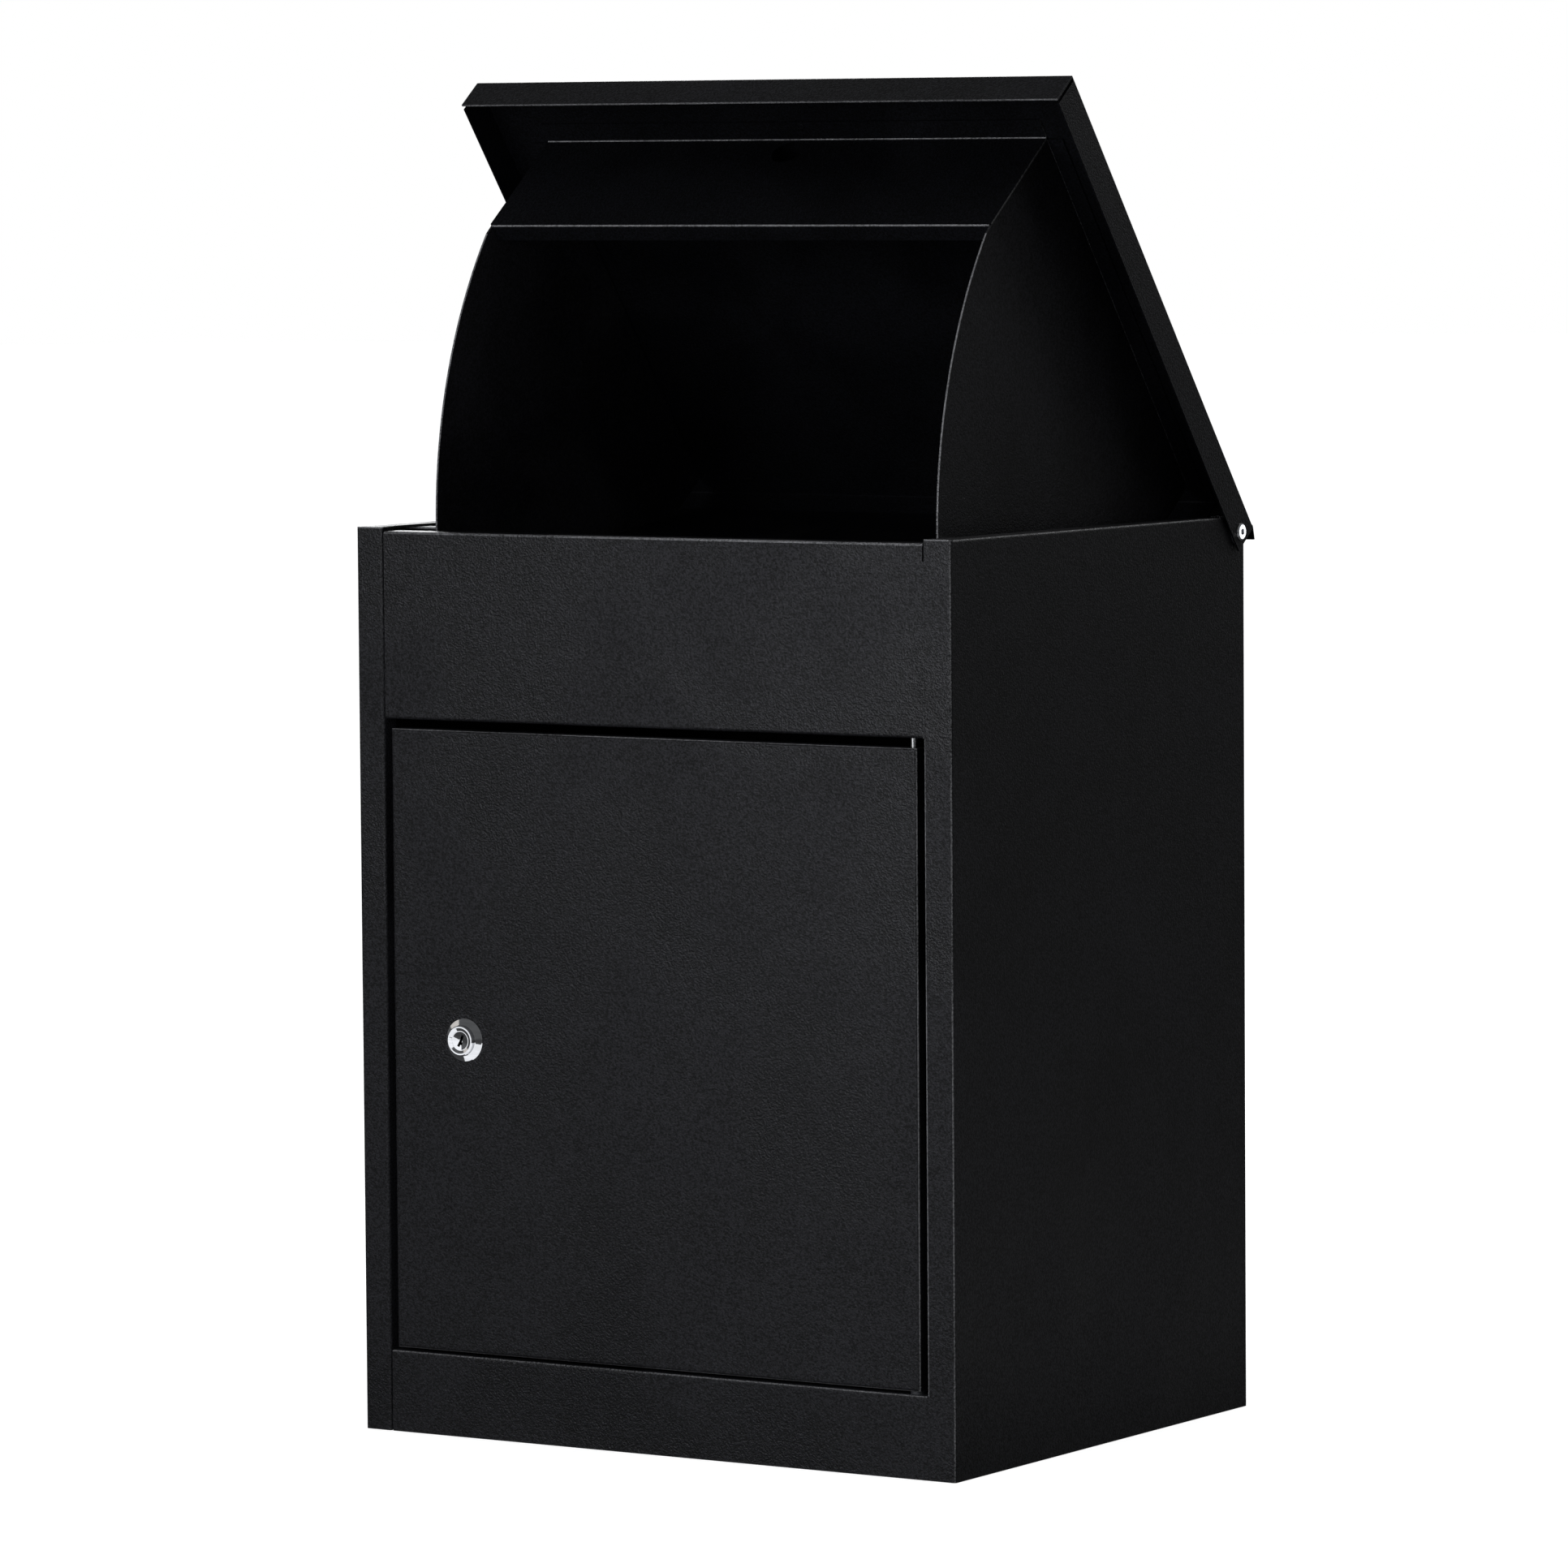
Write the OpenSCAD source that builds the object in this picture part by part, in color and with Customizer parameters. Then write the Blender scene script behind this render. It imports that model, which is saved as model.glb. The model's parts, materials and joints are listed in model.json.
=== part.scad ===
// Parcel drop box: folded sheet-steel body, locked front door and a lift-up lid that carries a tipping hopper.
// Row frame: origin at the centre of the footprint on the floor, front towards -Y, up is +Z, millimetres.

/* [Body] */
// Outer width of the body
body_w = 440; // [420:1:460]
// Outer depth of the body, front face to back face
body_d = 360; // [350:1:380]
// Height of the side panels
body_h = 575; // [560:1:600]
// Thickness of every steel sheet
sheet_t = 1.2; // [1:0.1:1.5]
// Inside radius of the folds
fold_r = 0.8; // [0.5:0.1:1.2]
// Width of the flanges that frame the door
flange_w = 20; // [18:1:24]
// Height of the sill under the door
sill_h = 52; // [45:1:60]
// Height of the door opening's top edge
opening_top = 454; // [440:1:465]
// Height of the upper front panel's top edge
front_top = 572.5; // [560:0.5:574]
// Diameter of the anchor holes in the base
anchor_hole_d = 9; // [7:0.5:12]
// Anchor hole spacing across the width
anchor_span_x = 300; // [240:5:340]
// Anchor hole spacing across the depth
anchor_span_y = 220; // [180:5:260]

/* [Door] */
// Gap between the door and each jamb
door_side_gap = 5.2; // [4.5:0.1:6]
// Gap under the door, which the spacer washer fills
door_bottom_gap = 2; // [1.5:0.1:3]
// Gap over the door
door_top_gap = 6; // [4:0.5:8]
// Depth of the door's folded edges
door_depth = 12; // [10:0.5:13]
// Hinge pin diameter
door_pin_d = 4; // [3:0.5:5]
// Distance from the door's hinge edge to the pin's axis
door_pin_inset = 4.8; // [4.5:0.1:6]

/* [Lock] */
// Distance from the door's free edge to the lock's axis
lock_inset = 54.5; // [45:0.1:60]
// Height of the lock's axis
lock_z = 252.8; // [230:0.1:270]
// Diameter of the lock's ring flange
lock_ring_d = 27.5; // [25:0.5:30]
// Diameter of the lock's raised boss
lock_boss_d = 19; // [17:0.5:20]
// Plug diameter
lock_plug_d = 12.5; // [11:0.5:14]
// Length of the cam from the lock's axis to its tip
cam_reach = 56; // [52:1:58]

/* [Lid] */
// Angle that the lid stands open at rest, which is its open stop
lid_open = 52; // [45:1:53]
// Outer width of the lid
lid_w = 445; // [444.6:0.1:446]
// Height of the lid's top face above its pivot, lid shut
lid_rise = 15.2; // [15:0.1:16]
// Depth of the lid's lips
lid_lip = 24.3; // [22:0.1:28]
// Distance from the pivot to the lid's front edge
lid_reach = 357; // [356:1:360]
// Height of the pivot above the floor
pivot_z = 565; // [560:1:566]
// Distance from the pivot to the body's back face
pivot_inset = 8; // [8:0.5:10]
// Pivot screw shank diameter
pivot_d = 6; // [5:0.5:8]

/* [Hopper] */
// Outer width of the hopper
hopper_w = 373.6; // [360:0.2:380]
// Distance from the pivot to the hopper's front face
hopper_front = 309.6; // [300:0.1:312]
// Depth of the hopper's front panel below the pivot's height, lid shut
hopper_drop = 73.75; // [65:0.25:80]
// Slope of the tray below the lid's plane
tray_angle = 59.2; // [57:0.1:61]
// Diameter of the round hole in the hopper's front panel
panel_hole_d = 22; // [18:1:24]

/* [Hidden] */
$fn = 64;
// Steps along each fold's arc
arc_steps = 6;
// Small overlap that joins or cuts solids cleanly
eps = 0.01;
// Gap between sheets of the welded body
weld_gap = 0.1;
// Radial gap of a pin that turns in its hole
run_gap = 0.05;
// Radial gap of a bolt in a plain hole
bolt_gap = 0.15;

half_w = body_w / 2;
front_y = -body_d / 2;
back_y = body_d / 2;
fold_out = fold_r + sheet_t;
jamb_x = half_w - flange_w;
jamb_depth = 12.8;
inner_x = half_w - sheet_t;

paint = "#1b1c1e";
bright_zinc = "#c4c8cc";
chrome = "#dfe3e6";
nylon = "#222222";

// ---- bent sheet outlines ----

// Unit direction from point a to point b
function heading(a, b) = (b - a) / norm(b - a);
// Direction turned a quarter turn to the left
function left_of(v) = [-v.y, v.x];
// Points of the fold at corner b of the path a, b, c, for the face at distance d to the path's left
function fold_points(a, b, c, d) =
  let (
    u = heading(a, b),
    v = heading(b, c),
    side = sign(u.x * v.y - u.y * v.x),
    r = side > 0 ? fold_out : fold_r,
    m = left_of(u),
    n = left_of(v),
    centre = b + side * r * (m + n) / (1 + m * n),
    start = atan2(m.y, m.x),
    turn = side * acos(u * v)
  )
  [for (i = [0:arc_steps]) let (q = start + turn * i / arc_steps)
    centre - side * (r - side * d) * [cos(q), sin(q)]];
// One face of a sheet that follows path p, at distance d to the path's left
function sheet_face(p, d) =
  let (last = len(p) - 1)
  concat(
    [p[0] + d * left_of(heading(p[0], p[1]))],
    [for (i = [1:1:last - 1]) each fold_points(p[i - 1], p[i], p[i + 1], d)],
    [p[last] + d * left_of(heading(p[last - 1], p[last]))]
  );
function reversed(list) = [for (i = [len(list) - 1:-1:0]) list[i]];
// Outline of a sheet whose right-hand face follows path p
function sheet_outline(p) = concat(sheet_face(p, 0), reversed(sheet_face(p, sheet_t)));

// Sheet drawn in plan and extruded upwards
module upright_sheet(path, height) {
  linear_extrude(height) polygon(sheet_outline(path));
}
// Sheet drawn in (x, z) and extruded along Y, from y0 to y1
module sheet_along_y(path, y0, y1) {
  translate([0, y1, 0]) rotate([90, 0, 0]) linear_extrude(y1 - y0) polygon(sheet_outline(path));
}
// Sheet drawn in (y, z) and extruded along X, from x0 to x1
module sheet_along_x(path, x0, x1) {
  translate([x0, 0, 0]) rotate([90, 0, 90]) linear_extrude(x1 - x0) polygon(sheet_outline(path));
}
// Box from its lowest corner to its highest corner
module span(low, high) {
  translate(low) cube(high - low);
}
// Rectangle whose two upper corners are round, standing on its lower edge
module round_top(w, h, r) {
  polygon(concat(
    [[-w / 2, 0], [w / 2, 0]],
    [for (i = [0:arc_steps]) [w / 2 - r, h - r] + r * [cos(90 * i / arc_steps), sin(90 * i / arc_steps)]],
    [for (i = [0:arc_steps]) [r - w / 2, h - r] + r * [-sin(90 * i / arc_steps), cos(90 * i / arc_steps)]]
  ));
}
// Block with its four top edges rounded, standing on its lower face
module round_block(w, l, h, r) {
  intersection() {
    translate([0, l / 2, 0]) rotate([90, 0, 0]) linear_extrude(l) round_top(w, h, r);
    translate([-w / 2, 0, 0]) rotate([90, 0, 90]) linear_extrude(w) round_top(l, h, r);
  }
}
// Folded pan: a plate with its top face at z = 0 and lips that hang down to -h
module pan(w, l, h) {
  translate([0, 0, -h]) difference() {
    round_block(w, l, h, fold_out);
    translate([0, 0, -1]) round_block(w - 2 * sheet_t, l - 2 * sheet_t, h - sheet_t + 1, fold_r);
  }
}
// Flat ring with its axis along Z, standing on z = 0
module ring(d_out, d_in, h) {
  difference() {
    cylinder(d = d_out, h = h);
    translate([0, 0, -1]) cylinder(d = d_in, h = h + 2);
  }
}
// Hexagonal nut standing on z = 0
module hex_nut(across_flats, bore, h) {
  difference() {
    cylinder(d = across_flats / cos(30), h = h, $fn = 6);
    translate([0, 0, -1]) cylinder(d = bore, h = h + 2);
  }
}
// Places children at the right side, or mirrored at the left side
module side(right) {
  if (right) children();
  else mirror([1, 0, 0]) children();
}

// ---- body ----

pivot_y = back_y - pivot_inset;
side_hem = 15;
side_hem_front = 3;
side_hem_rear = pivot_inset + 22;
base_lip = 15;

// Turned-in edge along the top of a side panel
module side_top_hem() {
  sheet_along_y(
    [[half_w, body_h - fold_out - 1], [half_w, body_h], [half_w - side_hem, body_h]],
    front_y + side_hem_front, back_y - side_hem_rear
  );
}

module side_panel() {
  difference() {
    upright_sheet(
      [[jamb_x, front_y + jamb_depth], [jamb_x, front_y], [half_w, front_y], [half_w, back_y]],
      body_h
    );
    // Room for the turned-in top edge
    span(
      [inner_x - 5, front_y + side_hem_front, body_h - fold_out],
      [half_w + 1, back_y - side_hem_rear, body_h + 1]
    );
    // The jamb stops above the base
    span(
      [jamb_x - 1, front_y + sheet_t + weld_gap, -1],
      [jamb_x + sheet_t + 1, front_y + jamb_depth + 1, base_lip + 1]
    );
    pivot_hole();
  }
  side_top_hem();
}

// Hole for a pivot screw, through everything at the right side
module pivot_hole() {
  translate([half_w - 10, pivot_y, pivot_z]) rotate([0, 90, 0]) cylinder(d = pivot_d + 2 * bolt_gap, h = 20);
}

// Lip behind the door's free edge, which the door shuts against and the cam catches
rebate_w = 12.2;
rebate_end = 4;
module door_rebate() {
  span(
    [jamb_x - rebate_w + sheet_t, front_y + jamb_depth, door_bottom + rebate_end],
    [jamb_x + sheet_t, front_y + jamb_depth + sheet_t, door_top - rebate_end]
  );
}

module left_side_panel() {
  color(paint) side(false) union() {
    side_panel();
    door_rebate();
  }
}

module right_side_panel() {
  color(paint) side(true) side_panel();
}

back_half_w = inner_x - 2 * weld_gap;
back_return = 15;
back_hem = 12;
module back_panel() {
  color(paint) difference() {
    union() {
      upright_sheet(
        [
          [back_half_w, back_y - back_return], [back_half_w, back_y],
          [-back_half_w, back_y], [-back_half_w, back_y - back_return]
        ],
        body_h - fold_out
      );
      sheet_along_x(
        [[back_y, body_h - fold_out - 1], [back_y, body_h], [back_y - back_hem, body_h]],
        -back_half_w + fold_out, back_half_w - fold_out
      );
    }
    // The side returns stop above the base and below the turned-in top edge
    for (x = [-1, 1])
      translate([x * back_half_w, back_y - sheet_t - back_return / 2, base_lip / 2])
        cube([2 * fold_out + 1, back_return, base_lip + 1], center = true);
    for (right = [false, true])
      side(right) pivot_hole();
  }
}

// Gap that keeps the base's square corners clear of the folds round it
base_gap = 0.25;
base_w = 2 * (inner_x - base_gap);
base_l = body_d - 2 * (sheet_t + base_gap);
module base_panel() {
  color(paint) difference() {
    rotate([180, 0, 0]) pan(base_w, base_l, base_lip);
    for (x = [-1, 1], y = [-1, 1])
      translate([x * anchor_span_x / 2, y * anchor_span_y / 2, -1])
        cylinder(d = anchor_hole_d, h = sheet_t + 2);
  }
}

// Seams beside the front panels: an open one at the left and a closed one at the right
seam_left = 1;
front_left_x = -jamb_x + seam_left;
front_right_x = jamb_x - weld_gap;
front_return = 14;
front_hem = 16;
door_pin_x = jamb_x - door_side_gap - door_pin_inset;
door_pin_back = 6;
door_pin_y = front_y + door_pin_back;

// Hole on the door hinge's axis, from z0 to z1
module pin_hole(d, z0, z1) {
  translate([door_pin_x, door_pin_y, z0]) cylinder(d = d, h = z1 - z0);
}

module front_upper_panel() {
  color(paint) difference() {
    sheet_along_x(
      [
        [front_y + front_hem, front_top], [front_y, front_top],
        [front_y, opening_top], [front_y + front_return, opening_top]
      ],
      front_left_x, front_right_x
    );
    pin_hole(door_pin_d, opening_top - 1, opening_top + sheet_t + 1);
  }
}

module front_lower_panel() {
  color(paint) difference() {
    sheet_along_x(
      [[front_y + front_return, sill_h], [front_y, sill_h], [front_y, 0]],
      front_left_x, front_right_x
    );
    pin_hole(door_pin_d, sill_h - sheet_t - 1, sill_h + 1);
  }
}

// ---- door ----

door_left_x = -jamb_x + door_side_gap;
door_right_x = jamb_x - door_side_gap;
door_bottom = sill_h + door_bottom_gap;
door_top = opening_top - door_top_gap;
lock_x = door_left_x + lock_inset;
lock_flats = 16.2;
lock_barrel_d = 18.6;

// Places children on the lock's axis, with +Z pointing out of the door
module at_lock() {
  translate([lock_x, front_y, lock_z]) rotate([90, 0, 0]) children();
}

// Lock barrel's section, with two flats that stop it turning
module barrel_section(clearance) {
  intersection() {
    circle(d = lock_barrel_d + clearance);
    square([lock_barrel_d + 1, lock_flats + clearance], center = true);
  }
}

module door_panel() {
  color(paint) difference() {
    translate([(door_left_x + door_right_x) / 2, front_y, (door_bottom + door_top) / 2])
      rotate([90, 0, 0]) pan(door_right_x - door_left_x, door_top - door_bottom, door_depth);
    at_lock() translate([0, 0, -sheet_t - 1]) linear_extrude(sheet_t + 2) barrel_section(0.2);
    pin_hole(door_pin_d + 2 * run_gap, door_bottom - 1, door_bottom + sheet_t + 1);
    pin_hole(door_pin_d + 2 * run_gap, door_top - sheet_t - 1, door_top + 1);
  }
}

pin_head_d = 7;
pin_head_h = 1.4;
pin_engage = 7;
module door_hinge_pin_upper() {
  color(bright_zinc) {
    pin_hole(door_pin_d, door_top - pin_engage, opening_top + sheet_t + eps);
    pin_hole(pin_head_d, opening_top + sheet_t, opening_top + sheet_t + pin_head_h);
  }
}

module door_hinge_pin_lower() {
  color(bright_zinc) {
    pin_hole(door_pin_d, sill_h - sheet_t - eps, door_bottom + pin_engage);
    pin_hole(pin_head_d, sill_h - sheet_t - pin_head_h, sill_h - sheet_t);
  }
}

spacer_d = 9;
module door_spacer_washer() {
  color(nylon) translate([door_pin_x, door_pin_y, sill_h])
    ring(spacer_d, door_pin_d + 2 * bolt_gap, door_bottom_gap - run_gap);
}

// ---- lock ----

// The ring's face is a cone from its rim up to the boss
lock_rim_h = 1.1;
lock_ring_h = 2.7;
lock_boss_h = 6;
lock_barrel_l = 11.6;
// The front of the boss is dished down to the plug
boss_rim = 1.4;
plug_recess = 0.6;
plug_front = lock_boss_h - plug_recess;
cam_t = 2.4;
cam_w = 15;
cam_front = jamb_depth + sheet_t + 0.5;
plug_square = 7;
cam_screw_d = 4;
// Length of the cam screw inside the plug
cam_screw_l = 6;

module lock_housing() {
  color(chrome) at_lock() difference() {
    union() {
      rotate_extrude() polygon([
        [0, 0], [lock_ring_d / 2, 0], [lock_ring_d / 2, lock_rim_h - 0.4],
        [lock_ring_d / 2 - 0.4, lock_rim_h], [lock_boss_d / 2 + 0.4, lock_ring_h],
        [lock_boss_d / 2, lock_ring_h + 0.4], [lock_boss_d / 2, lock_boss_h - 0.5],
        [lock_boss_d / 2 - 0.5, lock_boss_h], [lock_boss_d / 2 - boss_rim, lock_boss_h],
        [lock_plug_d / 2, plug_front], [0, plug_front]
      ]);
      translate([0, 0, -lock_barrel_l]) linear_extrude(lock_barrel_l + eps) barrel_section(0);
    }
    translate([0, 0, -lock_barrel_l - 1])
      cylinder(d = lock_plug_d + 2 * run_gap, h = lock_barrel_l + lock_boss_h + 2);
  }
}

lock_nut_h = 4;
lock_nut_flats = 24;
module lock_nut() {
  color(bright_zinc) at_lock() translate([0, 0, -sheet_t - lock_nut_h]) difference() {
    cylinder(d = lock_nut_flats / cos(30), h = lock_nut_h, $fn = 6);
    translate([0, 0, -1]) linear_extrude(lock_nut_h + 2) barrel_section(0.1);
  }
}

keyway_w = 1.9;
keyway_l = 8.2;
keyway_depth = 9;
// Lean of the keyway's top to the right
keyway_lean = 26;
ward = [1.9, 1.6];
dish_d = 11.6;
dish_floor_d = 2.4;
dish_depth = 0.9;
module lock_plug() {
  color(chrome) at_lock() difference() {
    union() {
      translate([0, 0, -cam_front + eps]) cylinder(d = lock_plug_d, h = cam_front + plug_front - eps);
      translate([0, 0, -cam_front - cam_t]) linear_extrude(cam_t + 2 * eps) square(plug_square, center = true);
    }
    // Keyway with its side ward
    rotate(-keyway_lean) translate([0, 0, plug_front - keyway_depth]) linear_extrude(keyway_depth + 1) {
      square([keyway_w, keyway_l], center = true);
      translate([ward.x / 2, -ward.y]) square(ward, center = true);
    }
    // Dished face round the keyway
    translate([0, 0, plug_front - dish_depth])
      cylinder(d1 = dish_floor_d, d2 = dish_d, h = dish_depth);
    translate([0, 0, plug_front]) cylinder(d = dish_d, h = 1);
    // Tapped hole for the cam screw
    translate([0, 0, -cam_front - cam_t - 1]) cylinder(d = cam_screw_d, h = cam_screw_l + 2);
  }
}

cam_hub_d = 17;
module lock_cam() {
  color(bright_zinc) at_lock() translate([0, 0, -cam_front - cam_t]) linear_extrude(cam_t) difference() {
    union() {
      circle(d = cam_hub_d);
      translate([-cam_w / 2, -cam_reach + cam_w / 2]) square([cam_w, cam_reach - cam_w / 2]);
      translate([0, -cam_reach + cam_w / 2]) circle(d = cam_w);
    }
    square(plug_square + 2 * run_gap, center = true);
  }
}

cam_washer_h = 1;
cam_washer_d = 12;
cam_head_h = 2.4;
cam_head_d = 7.6;
cross_recess = [4.6, 1, 1.2];
module cam_washer() {
  color(bright_zinc) at_lock() translate([0, 0, -cam_front - cam_t - cam_washer_h])
    ring(cam_washer_d, cam_screw_d + 2 * bolt_gap, cam_washer_h);
}

module cam_screw() {
  color(bright_zinc) at_lock() translate([0, 0, -cam_front - cam_t - cam_washer_h]) {
    difference() {
      union() {
        translate([0, 0, -cam_head_h]) cylinder(d = cam_head_d, h = cam_head_h);
        translate([0, 0, -cam_head_h]) cylinder(d = cam_screw_d, h = cam_head_h + cam_washer_h + cam_screw_l);
      }
      translate([0, 0, -cam_head_h - 1]) linear_extrude(1 + cross_recess.z)
        for (turn = [0, 90]) rotate(turn) square([cross_recess.x, cross_recess.y], center = true);
    }
  }
}

// ---- lid pivots ----

pivot_play = 0.1;
ear_outer = lid_w / 2;
ear_inner = ear_outer - sheet_t;
screw_head_d = 11;
screw_head_h = 1.4;
screw_rim_h = 0.5;
screw_top_d = 7.6;
hex_key = 4;
washer_d = 17;
pivot_nut_h = 6;
pivot_nut_flats = 10;
screw_tip_x = back_half_w - sheet_t - pivot_nut_h - 1.5;

// Places children on the right pivot's axis, with +Z pointing out of the body
module at_pivot(x) {
  translate([x, pivot_y, pivot_z]) rotate([0, 90, 0]) children();
}

module pivot_screw() {
  color(bright_zinc) {
    at_pivot(screw_tip_x) cylinder(d = pivot_d, h = ear_outer + pivot_play - screw_tip_x + eps);
    at_pivot(ear_outer + pivot_play) difference() {
      // Low button head: a rounded shoulder on a short rim, with a hexagon socket
      rotate_extrude() polygon(concat(
        [[0, 0], [screw_head_d / 2, 0], [screw_head_d / 2, screw_rim_h]],
        [for (i = [1:8]) let (q = 90 * i / 8) [
          screw_head_d / 2 - (screw_head_d - screw_top_d) / 2 * (1 - cos(q)),
          screw_rim_h + (screw_head_h - screw_rim_h) * sin(q)
        ]],
        [[0, screw_head_h]]
      ));
      translate([0, 0, eps]) cylinder(d = hex_key / cos(30), h = screw_head_h + 1, $fn = 6);
    }
  }
}

module pivot_screw_left() { side(false) pivot_screw(); }
module pivot_screw_right() { side(true) pivot_screw(); }

module pivot_washer() {
  color(nylon) at_pivot(half_w) ring(washer_d, pivot_d + 2 * bolt_gap, ear_inner - half_w - run_gap);
}

module pivot_washer_left() { side(false) pivot_washer(); }
module pivot_washer_right() { side(true) pivot_washer(); }

module pivot_nut() {
  color(bright_zinc) at_pivot(back_half_w - sheet_t - pivot_nut_h)
    hex_nut(pivot_nut_flats, pivot_d, pivot_nut_h);
}

module pivot_nut_left() { side(false) pivot_nut(); }
module pivot_nut_right() { side(true) pivot_nut(); }

// ---- lid, drawn shut about its pivot: x across, y towards the back, z up ----

lid_under = lid_rise - sheet_t;
lid_ear_end = 8.5;
corner_slit = 2.4;
drip_len = 8.5;
drip_angle = 24;
drip_inset = 0.6;

// Turns children from the shut lid's frame to the open rest pose
module lid_place() {
  translate([0, pivot_y, pivot_z]) rotate([-lid_open, 0, 0]) children();
}

module lid_panel() {
  color(paint) lid_place() difference() {
    union() {
      intersection() {
        translate([0, -lid_reach / 2 + 20, lid_rise]) pan(lid_w, lid_reach + 40, lid_lip);
        span([-lid_w, -lid_reach - 1, lid_rise - lid_lip - 1], [lid_w, lid_ear_end, lid_rise + 1]);
      }
      // Drip lip along the back edge
      sheet_along_x(
        [
          [lid_ear_end + drip_len * cos(drip_angle), lid_rise - drip_len * sin(drip_angle)],
          [lid_ear_end, lid_rise], [lid_ear_end - 1.5, lid_rise]
        ],
        -lid_w / 2 + drip_inset, lid_w / 2 - drip_inset
      );
    }
    // Open mitres at the front corners
    for (x = [-1, 1])
      translate([x * lid_w / 2, -lid_reach + sheet_t + corner_slit / 2, lid_rise - lid_lip])
        cube([2 * sheet_t + 0.4, corner_slit, 2 * (lid_lip - fold_out)], center = true);
    translate([-lid_w, 0, 0]) rotate([0, 90, 0]) cylinder(d = pivot_d + 2 * run_gap, h = 2 * lid_w);
  }
}

// ---- hopper, in the lid's frame ----

hopper_half = hopper_w / 2;
hopper_flange = 12.4;
front_flange = 14;
fold_back = 12;
panel_hole_at = [2.3, 0.9];
knee_y = -12;
knee_drop = 4;
cheek_rear = -26;
hopper_seat = lid_under - sheet_t;
// Cheek edge: an arc about a point just in front of the pivot, through the front panel's lower fold
arc_centre = [-12, 4];
arc_start = [-hopper_front, -hopper_drop];
arc_r = norm(arc_start - arc_centre);
tray_dir = [-cos(tray_angle), -sin(tray_angle)];
tray_start = [knee_y - sheet_t, -knee_drop];
// Distance along the tray to the cheek's arc
tray_len =
  let (d = tray_start - arc_centre, b = d * tray_dir)
  -b + sqrt(b * b - d * d + arc_r * arc_r);
tray_end = tray_start + tray_len * tray_dir;
// Point on the tray's underside at depth y
function tray_under(y) =
  let (p = tray_start + sheet_t * left_of(tray_dir))
  p + tray_dir * (y - p.x) / tray_dir.x;

module hopper_front_panel() {
  color(paint) lid_place() difference() {
    union() {
      sheet_along_x(
        [
          [-hopper_front - front_flange, hopper_seat], [-hopper_front, hopper_seat],
          [-hopper_front, -hopper_drop + 5]
        ],
        -hopper_half, hopper_half
      );
      sheet_along_x(
        [
          [-hopper_front, -hopper_drop + 6], [-hopper_front, -hopper_drop],
          [-hopper_front + fold_back, -hopper_drop]
        ],
        -hopper_half + sheet_t + weld_gap, hopper_half - sheet_t - weld_gap
      );
      for (x = [-1, 1])
        translate([x * (hopper_half - sheet_t / 2 - weld_gap), -hopper_front + sheet_t / 2, -hopper_drop + 5])
          cube([sheet_t + 2 * weld_gap, sheet_t, 6.4], center = true);
    }
    translate([panel_hole_at.x, -hopper_front - 1, panel_hole_at.y]) rotate([-90, 0, 0])
      cylinder(d = panel_hole_d, h = sheet_t + 2);
  }
}

cheek_front = -hopper_front + sheet_t + weld_gap;
stop_tab = [26, 14, sheet_t];
stop_gap = 0.4;
module hopper_cheek() {
  arc_angle = atan2(arc_start.y - arc_centre.y, arc_start.x - arc_centre.x) + 360;
  tip = tray_end - arc_centre;
  end_angle = atan2(tip.y, tip.x) + 360;
  edge = [for (i = [1:40]) arc_centre + arc_r * [
    cos(arc_angle + (end_angle - arc_angle) * i / 40),
    sin(arc_angle + (end_angle - arc_angle) * i / 40)
  ]];
  color(paint) lid_place() {
    // Side wall up to the fold of its flange
    translate([hopper_half - sheet_t, 0, 0]) rotate([90, 0, 90]) linear_extrude(sheet_t) polygon(concat(
      [
        [cheek_rear, lid_under - fold_out], [cheek_front, lid_under - fold_out],
        [cheek_front, -hopper_drop + 1]
      ],
      edge,
      [tray_end + sheet_t * left_of(tray_dir), tray_under(cheek_rear)]
    ));
    // Flange welded to the lid
    sheet_along_y(
      [
        [hopper_half - sheet_t + hopper_flange, lid_under], [hopper_half - sheet_t, lid_under],
        [hopper_half - sheet_t, lid_under - fold_out - 0.5]
      ],
      cheek_front, cheek_rear
    );
    // Tab that meets the side panel's turned-in edge when the lid is fully open
    rotate([lid_open, 0, 0])
      translate([hopper_half - sheet_t, -arc_r - 2, body_h - pivot_z - 2 * sheet_t - stop_gap])
        cube(stop_tab);
  }
}

module hopper_cheek_left() { side(false) hopper_cheek(); }
module hopper_cheek_right() { side(true) hopper_cheek(); }

tray_wing = 203;
tray_flange = 13;
tray_lip = 10;
module hopper_tray() {
  inner = hopper_half - sheet_t - weld_gap;
  color(paint) lid_place() difference() {
    sheet_along_x(
      [
        [knee_y - sheet_t - tray_flange, hopper_seat], [knee_y - sheet_t, hopper_seat],
        tray_start, tray_end, tray_end + tray_lip * left_of(tray_dir)
      ],
      -tray_wing, tray_wing
    );
    // Between the cheeks the tray is as wide as the hopper
    for (x = [-1, 1])
      translate([x * (inner + 50), cheek_rear - 200 + weld_gap, -150]) cube([100, 400, 400], center = true);
  }
}

bumper_d = 10;
bumper_gap = 0.3;
bumper_y = -200;
module lid_bumpers() {
  color("#141414") lid_place()
    for (x = [-1, 1])
      translate([x * (half_w - side_hem / 2), bumper_y, body_h - pivot_z + bumper_gap])
        cylinder(d = bumper_d, h = lid_under - (body_h - pivot_z) - bumper_gap);
}

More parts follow.
